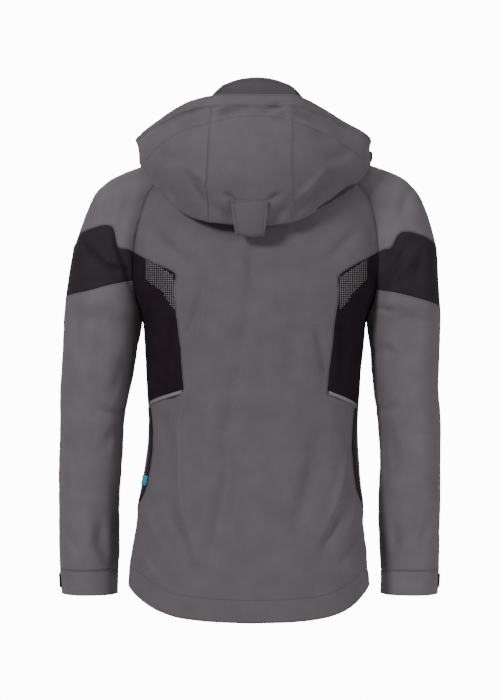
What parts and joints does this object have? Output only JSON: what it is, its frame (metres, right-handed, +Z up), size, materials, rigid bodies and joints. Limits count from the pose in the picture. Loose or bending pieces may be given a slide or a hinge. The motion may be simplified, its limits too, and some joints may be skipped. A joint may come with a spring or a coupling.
{
  "type": "softshell jacket with hood",
  "caption": "Hooded softshell jacket in worn form: raglan sleeves, black arm bands and side inserts, stand collar, dropped back hem.",
  "frame": {"origin": "centre of the neck opening, at the height of the collar seam behind", "axes": "+Z up, the front looks along -Y, +X is the wearer's left"},
  "size_m": [0.6158, 0.2962, 0.8461],
  "materials": {
    "grey_cloth": "matt softshell, fine knit face",
    "black_cloth": "matt black softshell",
    "piping": "smooth grey tape",
    "label": "plain cyan woven tab",
    "zip_tape": "black tape with coil teeth",
    "black_plastic": "matt black"
  },
  "bodies": {
    "garment": {"back_panel": "grey_cloth", "side_upper_left": "black_cloth", "side_upper_right": "black_cloth", "front_insert_left": "black_cloth", "front_insert_right": "black_cloth", "front_left": "grey_cloth", "front_right": "grey_cloth", "sleeve_back_top_left": "grey_cloth", "sleeve_band_left": "black_cloth", "sleeve_back_lower_left": "grey_cloth", "sleeve_back_top_right": "grey_cloth", "sleeve_band_right": "black_cloth", "sleeve_back_lower_right": "grey_cloth", "sleeve_front_left": "grey_cloth", "sleeve_front_right": "grey_cloth", "cuff_left": "grey_cloth", "cuff_right": "grey_cloth", "collar": "grey_cloth", "hood_centre": "grey_cloth", "hood_side_left": "grey_cloth", "hood_side_right": "grey_cloth", "hood_brim": "grey_cloth", "zip_tape_left": "zip_tape", "zip_tape_right": "zip_tape", "side_piping_left": "piping", "side_piping_right": "piping", "pocket_welt_left": "black_cloth", "pocket_welt_right": "black_cloth", "cuff_tab_left": "black_cloth", "cuff_tab_right": "black_cloth", "side_label": "label", "hood_strap": "grey_cloth", "hood_cord_lock": "black_plastic", "zip_slider": "black_plastic"},
    "pull": {"zip_pull": "black_plastic"}
  },
  "joints": [
    {"name": "zip_pull_hinge", "type": "hinge", "parent": "garment", "child": "pull", "pos_m": [0, -0.08227, -0.00263], "axis": [-1, 0, 0], "range_deg": [0, 160]}
  ]
}
